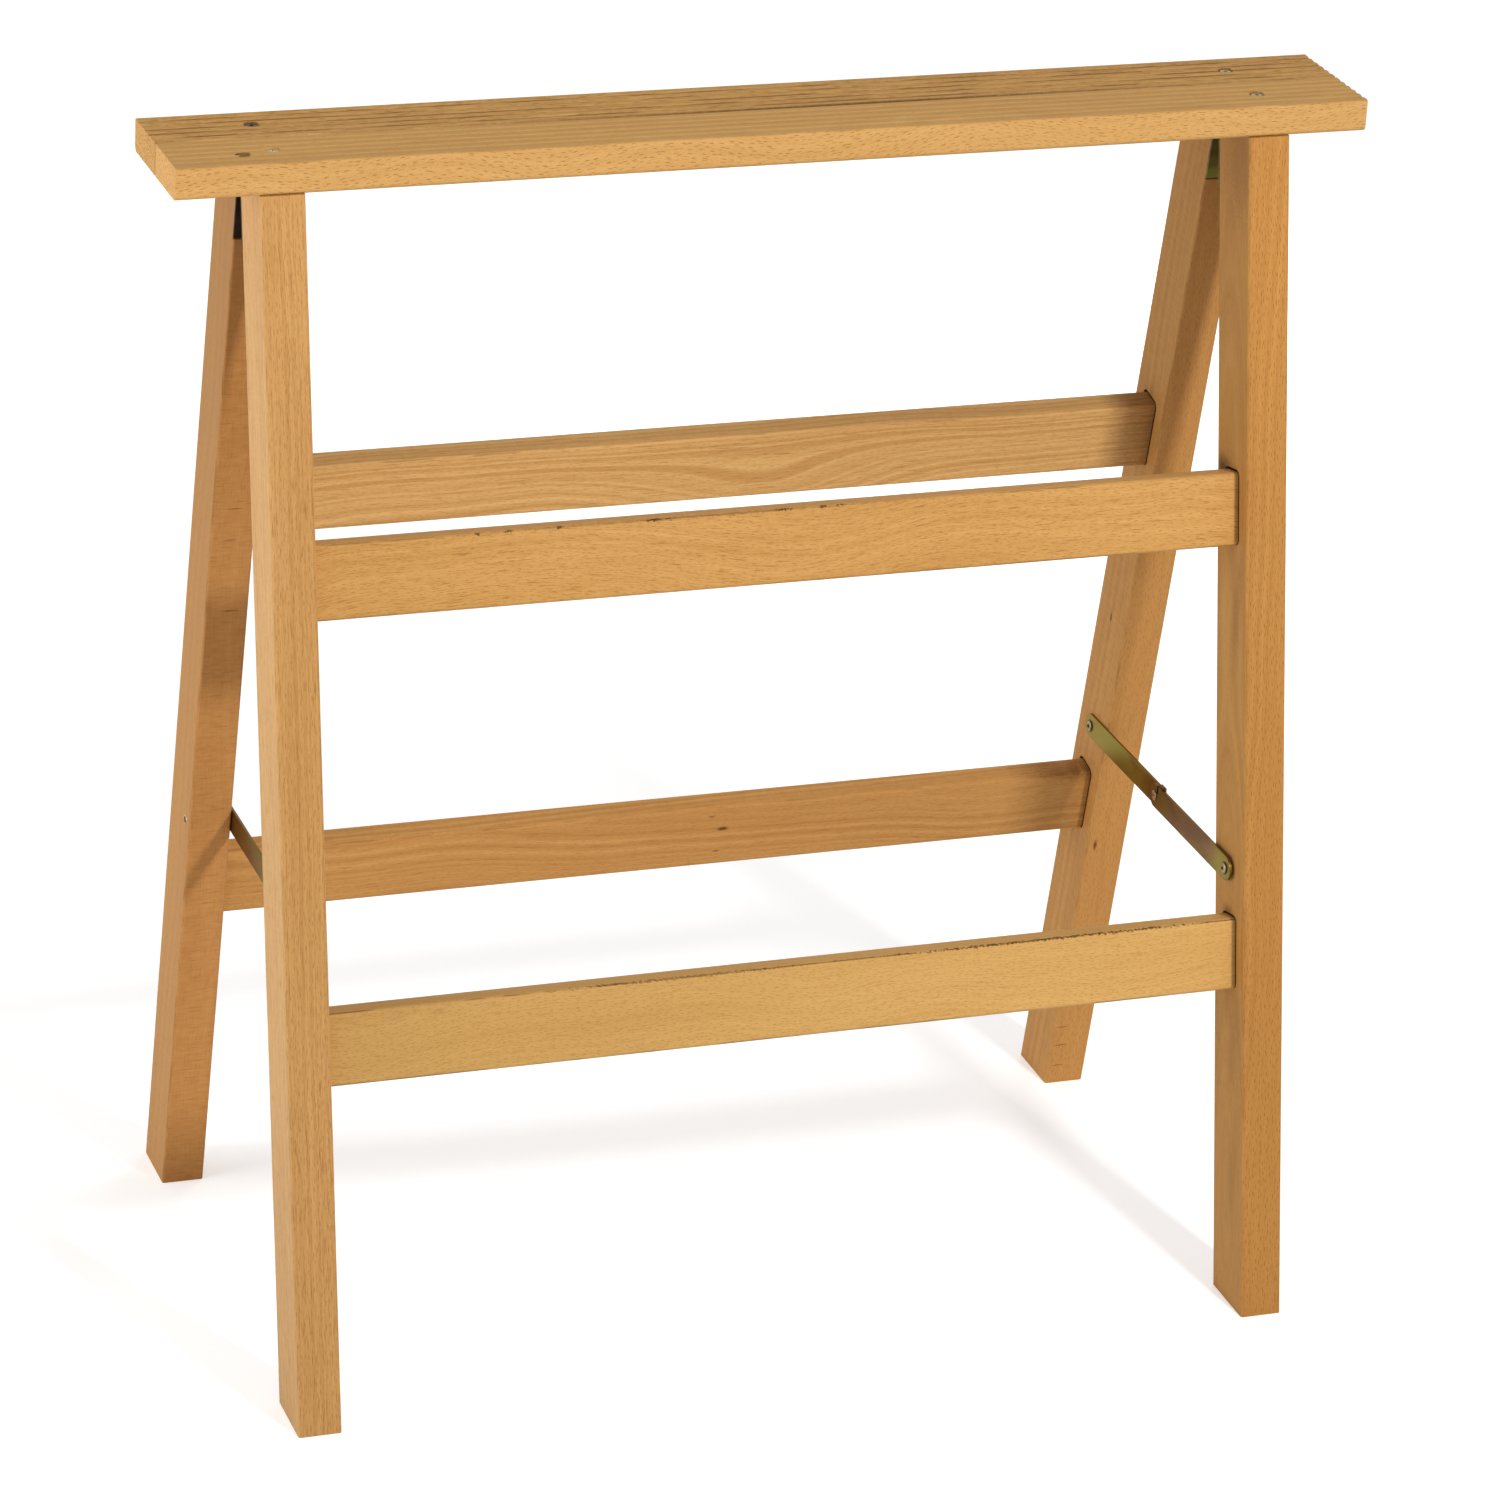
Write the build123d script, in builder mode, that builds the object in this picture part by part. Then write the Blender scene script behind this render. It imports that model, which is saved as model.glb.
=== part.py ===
"""Folding wooden trestle: two splayed frames hinged under a grooved top that is split along its middle.

X runs along the beam, the front frame is on the -Y side, Z is up and the origin is on the floor.
"""
import math
import os

from build123d import *

os.makedirs("parts", exist_ok=True)

# Overall sizes in millimetres, and the lean of each frame in degrees
trestle_height = 757.0
board_length = 745.0
board_thickness = 20.0
leg_width = 27.0
leg_depth = 45.0
board_overhang = 50.0
leg_gap = 4.0
splay_angle = 11.0

# Top boards: the gap between the halves, their rounded edges, fuller under the outer side, and their grooves
split_gap = 0.8
board_edge_radius = 1.5
board_under_radius = 3.5
grooves_per_half = 5
groove_radius = 5.0
groove_depth = 0.6

# Legs and the rails let into them; a distance down is measured along the leg from its top
leg_edge_radius = 1.5
rail_height = 46.0
rail_thickness = 17.5
rail_edge_radius = 2.5
rail_side_clearance = 2.3
rail_top_clearance = 1.5
mortise_corner_radius = 4.5
mortise_depth = 18.0
upper_rail_down = 217.0
lower_rail_down = 501.0

# Butt hinges, let into the legs right under the boards
pin_drop = 4.5
barrel_radius = 2.5
leaf_thickness = 2.0
leaf_recess = 1.2
leaf_bottom = 45.0
front_recess_overrun = 9.0
rear_recess_overrun = 1.5
knuckles = 3
knuckle_gap = 0.3
knuckle_notch_clearance = 0.8
hinge_pin_radius = 1.2
hinge_pin_head_radius = 2.0
hinge_pin_head_height = 0.8
fixed_fit = 0.02
running_fit = 0.05

# Countersunk wood screws: the head's radius, the shank's radius and the length
board_screw = (3.4, 2.0, 40.0)
hinge_screw = (3.3, 1.5, 15.0)
screw_fit = 0.03
screw_tip_radius = 0.5
screw_tip_length = 3.0
sink_below_grooves = 0.1
head_sink_clearance = 1.2
hinge_screws_per_leaf = 3
hinge_screw_first_down = 14.0
hinge_screw_pitch = 11.0
hinge_screw_offset = 6.5
cross_slot_width = 0.9

# Folding stays: two flat bars each, riveted at the knee and screwed to the legs
stay_rail_clearance = 18.2
bar_width = 16.0
bar_thickness = 1.5
stay_play = 0.2
stay_screw_head_radius = 3.2
stay_screw_head_height = 1.6
stay_screw_rim = 0.6
stay_screw_recess_radius = 1.2
stay_screw_recess_depth = 1.1
stay_screw_radius = 2.0
stay_screw_depth = 18.0
spacer_radius = 5.0
rivet_radius = 2.0
rivet_head_radius = 3.3
rivet_head_height = 1.6
rivet_rim = 0.5
flush_flange_radius = 3.2
flush_flange_thickness = 0.8
knee_gap = 0.1
slit_start = 3.4
slit_width = 1.6
slit_depth = 5.4
lug_start = 5.5
lug_width = 5.5
lug_bend_radius = 1.3
lug_clearance = 0.3

# Places that follow from the sizes above
splay = math.radians(splay_angle)
leg_top = trestle_height - board_thickness
leg_across = leg_depth / math.cos(splay)
leg_spread = leg_top * math.tan(splay)
leg_centre_x = board_length / 2 - board_overhang - leg_width / 2
leg_inner_x = leg_centre_x - leg_width / 2
half_width = leg_gap / 2 + leg_across - split_gap / 2
groove_pitch = half_width / (grooves_per_half + 1)
board_screw_sink = groove_depth + sink_below_grooves
leaf_proud = leaf_thickness - leaf_recess
pin_height = leg_top - pin_drop
pin_down = pin_drop * math.cos(splay) - leg_gap / 2 * math.sin(splay)
pin_in = pin_drop * math.sin(splay) + leg_gap / 2 * math.cos(splay)
knuckle_length = (leg_width - (knuckles - 1) * knuckle_gap) / knuckles
lower_rail_top = leg_top - lower_rail_down * math.cos(splay) + leg_depth * math.sin(splay)
stay_height = lower_rail_top + stay_rail_clearance + bar_width / 2
pivot_y = leg_gap / 2 + (leg_top - stay_height) * math.tan(splay) + leg_across / 2
rear_bar_layer = stay_play + bar_thickness / 2
front_bar_layer = rear_bar_layer + bar_thickness + stay_play
rear_screw_stack = bar_thickness + 2 * stay_play
front_screw_stack = 2 * bar_thickness + 3 * stay_play
spacer_thickness = bar_thickness + stay_play

sides = {"front": -1, "rear": 1}
ends = {"left": -1, "right": 1}


def on_leg(side, down, out):
    """Y and Z of a point a distance down a leg and a distance out from its inner face."""
    y = leg_gap / 2 + down * math.sin(splay) + out * math.cos(splay)
    z = leg_top - down * math.cos(splay) + out * math.sin(splay)
    return side * y, z


def outward(side):
    """Direction square to a leg's inner face, into the leg."""
    return (0, side * math.cos(splay), math.sin(splay))


def leg_section(side, x, down, out, facing):
    """Plane across the beam, turned to lie along the leg."""
    y, z = on_leg(side, down, out)
    return Plane(origin=(x, y, z), x_dir=outward(side), z_dir=(facing, 0, 0))


def leaf_outline(side, top, bottom, inner, outer):
    """Closed line round a rectangle that lies along a leg's inner face."""
    corners = [(top, inner), (top, outer), (bottom, outer), (bottom, inner)]
    Polyline(*[on_leg(side, down, out) for down, out in corners], close=True)


def countersunk_screw(head_radius, shank_radius, length):
    """Wood screw with a flat cross-slotted head at the origin, pointing along +Z."""
    cone = head_radius - shank_radius
    with BuildPart() as screw:
        with BuildSketch(Plane.XZ):
            with BuildLine():
                Polyline(
                    (0, 0),
                    (head_radius, 0),
                    (shank_radius, cone),
                    (shank_radius, length - screw_tip_length),
                    (screw_tip_radius, length),
                    (0, length),
                    close=True,
                )
            make_face()
        revolve(axis=Axis.Z)
        with BuildSketch():
            Rectangle(head_radius, cross_slot_width)
            Rectangle(cross_slot_width, head_radius)
        extrude(amount=cone / 2, mode=Mode.SUBTRACT)
    return screw.part


def countersunk_hole(head_radius, shank_radius, length, sink):
    """Room for a countersunk screw, with a straight sink above its head."""
    cone = head_radius - shank_radius
    with BuildPart() as hole:
        with BuildSketch(Plane.XZ):
            with BuildLine():
                Polyline(
                    (0, -sink),
                    (head_radius + head_sink_clearance, -sink),
                    (head_radius + head_sink_clearance, 0),
                    (head_radius + screw_fit, 0),
                    (shank_radius + screw_fit, cone),
                    (shank_radius + screw_fit, length),
                    (0, length),
                    close=True,
                )
            make_face()
        revolve(axis=Axis.Z)
    return hole.part


def domed_pin(head_radius, head_height, rim, shank_radius, length):
    """Domed head above the origin on a plain shank that runs along +Z."""
    dome = head_height - rim
    sphere = (head_radius**2 + dome**2) / (2 * dome)
    midway = head_radius / 2
    midway_drop = sphere - math.sqrt(sphere**2 - midway**2)
    with BuildPart() as pin:
        with BuildSketch(Plane.XZ):
            with BuildLine():
                ThreePointArc((0, -head_height), (midway, midway_drop - head_height), (head_radius, -rim))
                Polyline(
                    (head_radius, -rim),
                    (head_radius, 0),
                    (shank_radius, 0),
                    (shank_radius, length),
                    (0, length),
                    (0, -head_height),
                )
            make_face()
        revolve(axis=Axis.Z)
    return pin.part


def stay_screw(stack):
    """Round-head screw on which a stay bar turns, its drive recess in the head."""
    with BuildPart() as screw:
        add(
            domed_pin(
                stay_screw_head_radius,
                stay_screw_head_height,
                stay_screw_rim,
                stay_screw_radius,
                stack + stay_screw_depth,
            )
        )
        with BuildSketch(Plane.XY.offset(-stay_screw_head_height)):
            Circle(stay_screw_recess_radius)
        extrude(amount=stay_screw_recess_depth, mode=Mode.SUBTRACT)
    return screw.part


def board_screw_place(side, end):
    """Where a board screw's head sits, over the middle of its leg."""
    y = side * (split_gap / 2 + half_width / 2)
    origin = (end * leg_centre_x, y, trestle_height - board_screw_sink)
    return Plane(origin=origin, x_dir=(1, 0, 0), z_dir=(0, 0, -1)).location


def hinge_screw_places(side, end):
    """Where the staggered screws of one hinge leaf sit, flush with the leaf's face."""
    places = []
    for number in range(hinge_screws_per_leaf):
        x = end * leg_centre_x + hinge_screw_offset * (-1) ** number
        y, z = on_leg(side, hinge_screw_first_down + number * hinge_screw_pitch, -leaf_proud)
        places.append(Plane(origin=(x, y, z), x_dir=(1, 0, 0), z_dir=outward(side)).location)
    return places


def stay_place(end, distance, y):
    """A point beside the legs' inner side faces at stay height, facing out into the leg."""
    origin = (end * (leg_inner_x - distance), y, stay_height)
    return Plane(origin=origin, x_dir=(0, 1, 0), z_dir=(end, 0, 0))


def half_board(side):
    """Half of the top: grooved along its upper face and bored for its two screws."""
    inner = split_gap / 2
    with BuildPart() as board:
        with BuildSketch(Plane.YZ) as section:
            with Locations((side * (inner + half_width / 2), leg_top + board_thickness / 2)):
                Rectangle(half_width, board_thickness)
            lower = section.vertices().group_by(Axis.Y)[0]
            fillet(lower.sort_by(lambda corner: side * corner.X)[-1], board_under_radius)
            lower, *_, upper = section.vertices().group_by(Axis.Y)
            fillet([lower.sort_by(lambda corner: side * corner.X)[0], *upper], board_edge_radius)
            groove_centre = trestle_height - groove_depth + groove_radius
            for number in range(grooves_per_half):
                with Locations((side * (inner + (number + 1) * groove_pitch), groove_centre)):
                    Circle(groove_radius, mode=Mode.SUBTRACT)
        extrude(amount=board_length / 2, both=True)
        for end in ends.values():
            room = countersunk_hole(*board_screw, board_screw_sink + head_sink_clearance)
            add(board_screw_place(side, end) * room, mode=Mode.SUBTRACT)
    return board.part


def leg(side, end):
    """Leg with level ends, blind mortises, a hinge recess and its screw holes."""
    inner = leg_gap / 2
    corners = [
        (side * inner, leg_top),
        (side * (inner + leg_across), leg_top),
        (side * (inner + leg_across + leg_spread), 0),
        (side * (inner + leg_spread), 0),
    ]
    with BuildPart() as post:
        with BuildSketch(Plane.YZ.offset(end * leg_centre_x)):
            with BuildLine():
                Polyline(*corners, close=True)
            make_face()
        extrude(amount=leg_width / 2, both=True)
        fillet(post.edges().filter_by(lambda edge: edge.length > leg_top), leg_edge_radius)
        for rail_down in (upper_rail_down, lower_rail_down):
            mortise_width = rail_thickness + 2 * rail_side_clearance
            mortise_height = rail_height + rail_top_clearance
            middle = rail_down + rail_height - mortise_height / 2
            with BuildSketch(leg_section(side, end * leg_inner_x, middle, leg_depth / 2, end)):
                RectangleRounded(mortise_width, mortise_height, mortise_corner_radius)
            extrude(amount=mortise_depth, mode=Mode.SUBTRACT)
        with BuildSketch(Plane.YZ.offset(end * leg_centre_x)):
            with BuildLine():
                overrun = front_recess_overrun if side < 0 else rear_recess_overrun
                leaf_outline(side, -leg_depth, leaf_bottom + overrun, -leg_depth, leaf_recess)
            make_face()
        extrude(amount=leg_width / 2, both=True, mode=Mode.SUBTRACT)
        board_screw_room = countersunk_hole(*board_screw, board_screw_sink)
        add(board_screw_place(side, end) * board_screw_room, mode=Mode.SUBTRACT)
        for place in hinge_screw_places(side, end):
            add(place * countersunk_hole(*hinge_screw, leaf_proud), mode=Mode.SUBTRACT)
        with BuildSketch(stay_place(end, 0, side * pivot_y)):
            Circle(stay_screw_radius + screw_fit)
        extrude(amount=stay_screw_depth, mode=Mode.SUBTRACT)
    return post.part


def rail(side, down):
    """Rail with rounded edges, its full section running into the mortises at both ends."""
    with BuildPart() as bar:
        with BuildSketch(leg_section(side, 0, down + rail_height / 2, leg_depth / 2, 1)):
            RectangleRounded(rail_thickness, rail_height, rail_edge_radius)
        extrude(amount=leg_inner_x + mortise_depth, both=True)
    return bar.part


def knuckle_centre(number):
    """Middle of a hinge knuckle, measured along the beam from the hinge's middle."""
    return (number - (knuckles - 1) / 2) * (knuckle_length + knuckle_gap)


def hinge_leaf(side, end, own_knuckles):
    """Hinge leaf with its knuckles, notched for the knuckles of the other leaf."""
    middle = end * leg_centre_x
    neck_bottom = pin_down + barrel_radius
    with BuildPart() as leaf:
        with BuildSketch(Plane.YZ.offset(middle)):
            with BuildLine():
                leaf_outline(side, pin_down, leaf_bottom, -leaf_proud, leaf_recess)
            make_face()
        extrude(amount=leg_width / 2, both=True)
        for number in range(knuckles):
            at = Plane.YZ.offset(middle + knuckle_centre(number))
            if number in own_knuckles:
                with BuildSketch(at):
                    with BuildLine():
                        leaf_outline(side, pin_down, neck_bottom, -pin_in, 0)
                    make_face()
                    with Locations((0, pin_height)):
                        Circle(barrel_radius)
                extrude(amount=knuckle_length / 2, both=True)
            else:
                with BuildSketch(at):
                    with BuildLine():
                        notch_bottom = neck_bottom + knuckle_notch_clearance
                        leaf_outline(side, 0, notch_bottom, -leaf_thickness, leaf_thickness)
                    make_face()
                extrude(amount=knuckle_length / 2 + knuckle_gap, both=True, mode=Mode.SUBTRACT)
        fit = fixed_fit if side < 0 else running_fit
        with BuildSketch(Plane.YZ.offset(middle)):
            with Locations((0, pin_height)):
                Circle(hinge_pin_radius + fit)
        extrude(amount=leg_width, both=True, mode=Mode.SUBTRACT)
        for place in hinge_screw_places(side, end):
            add(place * countersunk_hole(*hinge_screw, leaf_proud), mode=Mode.SUBTRACT)
    return leaf.part


def hinge_pin(end):
    """Hinge pin with a small peened head at each end."""
    with BuildPart() as pin:
        with BuildSketch(Plane.YZ.offset(end * leg_centre_x)):
            with Locations((0, pin_height)):
                Circle(hinge_pin_radius)
        extrude(amount=leg_width / 2, both=True)
        for way in (-1, 1):
            head_x = end * leg_centre_x + way * (leg_width + hinge_pin_head_height) / 2
            with BuildSketch(Plane.YZ.offset(head_x)):
                with Locations((0, pin_height)):
                    Circle(hinge_pin_head_radius)
            extrude(amount=hinge_pin_head_height / 2, both=True)
    return pin.part


def front_stay_bar(end):
    """Stay bar from the front leg to the knee, slit from its top edge beside the stop."""
    slit_middle = -slit_start - slit_width / 2
    with BuildPart() as bar:
        with BuildSketch(stay_place(end, front_bar_layer, 0)):
            with Locations((-pivot_y / 2, 0)):
                SlotCenterToCenter(pivot_y, bar_width)
            with Locations((-pivot_y, 0)):
                Circle(stay_screw_radius + running_fit, mode=Mode.SUBTRACT)
            with Locations((slit_middle, end * (bar_width - slit_depth) / 2)):
                Rectangle(slit_width, slit_depth, mode=Mode.SUBTRACT)
            Circle(rivet_radius + fixed_fit, mode=Mode.SUBTRACT)
        extrude(amount=bar_thickness / 2, both=True)
    return bar.part


def rear_stay_bar(end):
    """Stay bar from the rear leg to the knee, with a lug bent over the front bar as a stop."""
    lug_under = bar_width / 2 + lug_clearance
    lug_middle = -lug_start - lug_width / 2
    lug_reach = bar_thickness + stay_play
    with BuildPart() as bar:
        with BuildSketch(stay_place(end, rear_bar_layer, 0)):
            with Locations((pivot_y / 2, 0)):
                SlotCenterToCenter(pivot_y, bar_width)
            with Locations((lug_middle, end * lug_under / 2)):
                Rectangle(lug_width, lug_under)
            with Locations((pivot_y, 0)):
                Circle(stay_screw_radius + running_fit, mode=Mode.SUBTRACT)
            Circle(rivet_radius + fixed_fit, mode=Mode.SUBTRACT)
        extrude(amount=bar_thickness / 2, both=True)
        with BuildSketch(stay_place(end, stay_play, 0)):
            with Locations((lug_middle, end * (lug_under + bar_thickness / 2))):
                Rectangle(lug_width, bar_thickness)
        extrude(amount=-bar_thickness - lug_reach)
        bend_edges = bar.edges().filter_by(Axis.Y).group_by(Axis.Z)[-1]
        fillet(bend_edges.sort_by(lambda edge: end * edge.center().X)[-1], lug_bend_radius)
        with BuildSketch(stay_place(end, stay_play, 0)):
            Circle(flush_flange_radius + fixed_fit)
        extrude(amount=-flush_flange_thickness, mode=Mode.SUBTRACT)
    return bar.part


def flush_rivet_half(end):
    """Half of the knee rivet in the rear bar, its flange let in flush beside the leg."""
    with BuildPart() as half:
        with BuildSketch(stay_place(end, stay_play, 0)):
            Circle(flush_flange_radius)
        extrude(amount=-flush_flange_thickness)
        with BuildSketch(stay_place(end, stay_play, 0)):
            Circle(rivet_radius)
        extrude(amount=-bar_thickness - (stay_play - knee_gap) / 2)
    return half.part


def domed_rivet_half(end):
    """Half of the knee rivet in the front bar, its domed head on the open side."""
    length = bar_thickness + (stay_play - knee_gap) / 2
    shape = domed_pin(rivet_head_radius, rivet_head_height, rivet_rim, rivet_radius, length)
    return stay_place(end, front_bar_layer + bar_thickness / 2, 0).location * shape


def spacer(end):
    """Ring that stands the front bar off its leg, level with the rear bar."""
    with BuildPart() as ring:
        with BuildSketch(stay_place(end, 0, -pivot_y)):
            Circle(spacer_radius)
            Circle(stay_screw_radius + fixed_fit, mode=Mode.SUBTRACT)
        extrude(amount=-spacer_thickness)
    return ring.part


def group(shapes):
    """Several like fasteners kept together as one node."""
    with BuildPart() as together:
        for shape in shapes:
            add(shape)
    return together.part


def save(name, shape):
    """Write one named node."""
    shape.label = name
    export_step(shape, f"parts/{name}.step")


# Wooden pieces of both frames
for side_name, side in sides.items():
    save(f"{side_name}_top_board", half_board(side))
    save(f"{side_name}_upper_rail", rail(side, upper_rail_down))
    save(f"{side_name}_lower_rail", rail(side, lower_rail_down))
    for end_name, end in ends.items():
        save(f"{side_name}_{end_name}_leg", leg(side, end))

# Hinges: the front leaf holds the outer knuckles and the pin
for end_name, end in ends.items():
    save(f"{end_name}_hinge_front_leaf", hinge_leaf(sides["front"], end, range(0, knuckles, 2)))
    save(f"{end_name}_hinge_rear_leaf", hinge_leaf(sides["rear"], end, range(1, knuckles, 2)))
    save(f"{end_name}_hinge_pin", hinge_pin(end))

# Screws of the boards, hinges and stays, grouped by frame
for side_name, side in sides.items():
    top_screws = [board_screw_place(side, end) * countersunk_screw(*board_screw) for end in ends.values()]
    save(f"{side_name}_board_screws", group(top_screws))
    places = [place for end in ends.values() for place in hinge_screw_places(side, end)]
    leaf_screws = [place * countersunk_screw(*hinge_screw) for place in places]
    save(f"{side_name}_hinge_screws", group(leaf_screws))
    stack = front_screw_stack if side < 0 else rear_screw_stack
    pivots = [stay_place(end, stack, side * pivot_y).location * stay_screw(stack) for end in ends.values()]
    save(f"{side_name}_stay_screws", group(pivots))

# Folding stays
save("stay_spacers", group([spacer(end) for end in ends.values()]))
for end_name, end in ends.items():
    save(f"{end_name}_stay_front_bar", front_stay_bar(end))
    save(f"{end_name}_stay_rear_bar", rear_stay_bar(end))
    save(f"{end_name}_knee_domed_rivet", domed_rivet_half(end))
    save(f"{end_name}_knee_flush_rivet", flush_rivet_half(end))

# How far the stays turn when the frames fold flat together
reach = math.hypot(pivot_y, pin_height - stay_height)
open_half_angle = math.atan2(pivot_y, pin_height - stay_height)
folded_half_span = reach * math.sin(open_half_angle - splay)
bar_turn = math.degrees(math.acos(folded_half_span / pivot_y)) - splay_angle
frame_fold = 2 * splay_angle
print("hinge line z", pin_height, "stay pivots y", round(pivot_y, 3), "z", round(stay_height, 3))
print("fold", frame_fold, "bar turn", round(bar_turn, 4), "ratio", round(bar_turn / frame_fold, 5))
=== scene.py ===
# %% [markdown]
# A folding wooden trestle. Two leg frames of varnished beech lean against each other from one hinge
# line under a split top board, and two folding steel stays keep their feet from sliding apart. The
# CAD frame already has every piece at its real size and place, so this lesson gives it surfaces,
# light and a camera. Nothing from CAD is moved or reshaped: a finish goes into a node's own material
# slots.

import math
from functools import partial

import bpy
from mathutils import Euler, Matrix, Vector


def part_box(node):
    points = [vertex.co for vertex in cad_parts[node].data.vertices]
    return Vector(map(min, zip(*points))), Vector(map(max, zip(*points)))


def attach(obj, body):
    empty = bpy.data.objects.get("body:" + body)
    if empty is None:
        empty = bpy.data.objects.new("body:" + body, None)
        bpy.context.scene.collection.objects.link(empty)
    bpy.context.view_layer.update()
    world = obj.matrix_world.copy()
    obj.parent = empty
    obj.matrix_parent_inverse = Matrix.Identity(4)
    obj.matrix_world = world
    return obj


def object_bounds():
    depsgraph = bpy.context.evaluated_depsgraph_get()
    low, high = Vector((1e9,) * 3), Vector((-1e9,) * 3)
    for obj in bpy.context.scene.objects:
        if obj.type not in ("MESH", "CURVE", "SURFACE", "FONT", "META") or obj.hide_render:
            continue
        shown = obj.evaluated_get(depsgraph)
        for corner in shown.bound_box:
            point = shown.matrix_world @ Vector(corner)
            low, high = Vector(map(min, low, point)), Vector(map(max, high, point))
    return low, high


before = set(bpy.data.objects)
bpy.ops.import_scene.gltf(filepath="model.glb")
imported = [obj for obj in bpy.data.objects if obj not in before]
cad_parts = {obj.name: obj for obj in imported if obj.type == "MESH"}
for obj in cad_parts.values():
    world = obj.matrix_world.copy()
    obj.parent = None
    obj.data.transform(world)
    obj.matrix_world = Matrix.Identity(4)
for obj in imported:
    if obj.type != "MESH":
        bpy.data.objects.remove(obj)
cad_low, cad_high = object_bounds()
bpy.ops.object.select_all(action="DESELECT")

# %% [markdown]
# The portrait is taken with a long lens from the left of the front and from above, and the picture
# leans by a few degrees. A Track To constraint would aim the camera but lose that lean, so the aim is
# written as three angles instead: how far the lens turns to the right of straight ahead, how far it
# looks down, and how far the picture rolls.

# %% Camera
camera_place = Vector((-1.18549, -3.21304, 1.83729))
camera_right_turn = math.radians(20.459)
camera_look_down = math.radians(23.611)
camera_roll = math.radians(3.216)
lens_length = 143.91
film_width = 36.0
quarter_turn = math.radians(90)

bpy.ops.object.camera_add(location=camera_place)
camera = bpy.context.object
camera.name = "portrait_camera"
aim = Euler((quarter_turn - camera_look_down, 0, -camera_right_turn)).to_matrix()
camera.rotation_euler = (aim @ Matrix.Rotation(camera_roll, 3, "Z")).to_euler()
camera.data.sensor_width = film_width
camera.data.lens = lens_length
bpy.context.scene.camera = camera
bpy.context.scene.view_settings.view_transform = "Standard"
board_middle = Vector((0, 0, cad_high.z))
print("camera distance to the top board:", round((camera_place - board_middle).length, 2))

# %% [markdown]
# Node trees are easier to read when each node takes one line. These helpers place a node, write
# plain values into its sockets and draw a link where a socket is given another socket instead. The
# shorter ones wrap the sums that come up most often.

# %% Helpers for node trees
def feed(tree, socket, value):
    """Link a socket to another one, or write a plain value into it."""
    if isinstance(value, bpy.types.NodeSocket):
        tree.links.new(value, socket)
    else:
        socket.default_value = value


def place(tree, kind, inputs=None, **settings):
    """Add a shader node with its settings, and feed its inputs by name or number."""
    node = tree.nodes.new("ShaderNode" + kind)
    for name, value in settings.items():
        setattr(node, name, value)
    for name, value in (inputs or {}).items():
        feed(tree, node.inputs[name], value)
    return node


def calculate(tree, operation, *values, clamp=False):
    """A Math node on one to three values."""
    return place(tree, "Math", dict(enumerate(values)), operation=operation, use_clamp=clamp).outputs[0]


def product(tree, first, *others):
    """Several values multiplied together."""
    for other in others:
        first = calculate(tree, "MULTIPLY", first, other)
    return first


def calculate_vector(tree, operation, *values):
    """A Vector Math node on one or two vectors."""
    return place(tree, "VectorMath", dict(enumerate(values)), operation=operation).outputs["Vector"]


def scale_vector(tree, vector, factor):
    """A vector times one value."""
    return place(tree, "VectorMath", {0: vector, "Scale": factor}, operation="SCALE").outputs["Vector"]


def length_of(tree, vector):
    """How long a vector is."""
    return place(tree, "VectorMath", {0: vector}, operation="LENGTH").outputs["Value"]


print("node helpers ready")

# %% [markdown]
# The studio is a white room. The world is dimmer than white as a light, so that a colour renders
# about as it is written, yet the camera, mirror-like surfaces and glass see it pure white. The Light
# Path node tells these two kinds of ray apart.

# %% White room
room_level = 0.42
white = (1, 1, 1, 1)


def seen_rays(tree):
    """1 for rays that show the background: camera, glossy and transmission rays."""
    path = place(tree, "LightPath").outputs
    both = calculate(tree, "ADD", path["Is Camera Ray"], path["Is Glossy Ray"])
    return calculate(tree, "ADD", both, path["Is Transmission Ray"], clamp=True)


world = bpy.data.worlds.new("white_room")
world.use_nodes = True
bpy.context.scene.world = world
room = world.node_tree
room.nodes.clear()
room_strength = calculate(room, "MULTIPLY_ADD", seen_rays(room), 1 - room_level, room_level)
room_light = place(room, "Background", {"Color": white, "Strength": room_strength})
feed(room, place(room, "OutputWorld").inputs["Surface"], room_light.outputs[0])
print("room level:", room_level)

# %% [markdown]
# The floor is pale and catches the trestle's soft shadow. Lit only by the room and the lamps it would
# look grey, so a glow, which lights nothing and only the seen rays meet, lifts it to the white of the
# paper that product photographs are taken on. The lamps' light fades with distance, so the glow grows
# outwards.

# %% Floor
floor_size = 16.0
floor_pale = 0.82
glow_near, glow_far = 0.45, 0.66
glow_start, glow_end = 0.6, 2.6

bpy.ops.mesh.primitive_plane_add(size=floor_size)
floor = bpy.context.object
floor.name = "studio_floor"
floor_paper = bpy.data.materials.new("floor_paper")
floor_paper.use_nodes = True
paper = floor_paper.node_tree
paper.nodes.clear()
matt = place(paper, "BsdfDiffuse", {"Color": (floor_pale, floor_pale, floor_pale, 1)})
floor_distance = length_of(paper, place(paper, "TexCoord").outputs["Object"])
glow_range = {"From Min": glow_start, "From Max": glow_end, "To Min": glow_near, "To Max": glow_far}
outwards = place(paper, "MapRange", {"Value": floor_distance, **glow_range}).outputs[0]
glow_strength = product(paper, seen_rays(paper), outwards)
glow = place(paper, "Emission", {"Color": white, "Strength": glow_strength})
lifted = place(paper, "AddShader", {0: matt.outputs[0], 1: glow.outputs[0]})
feed(paper, place(paper, "OutputMaterial").inputs["Surface"], lifted.outputs[0])
floor.data.materials.append(floor_paper)
print("floor:", floor_size, "m square")

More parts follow.
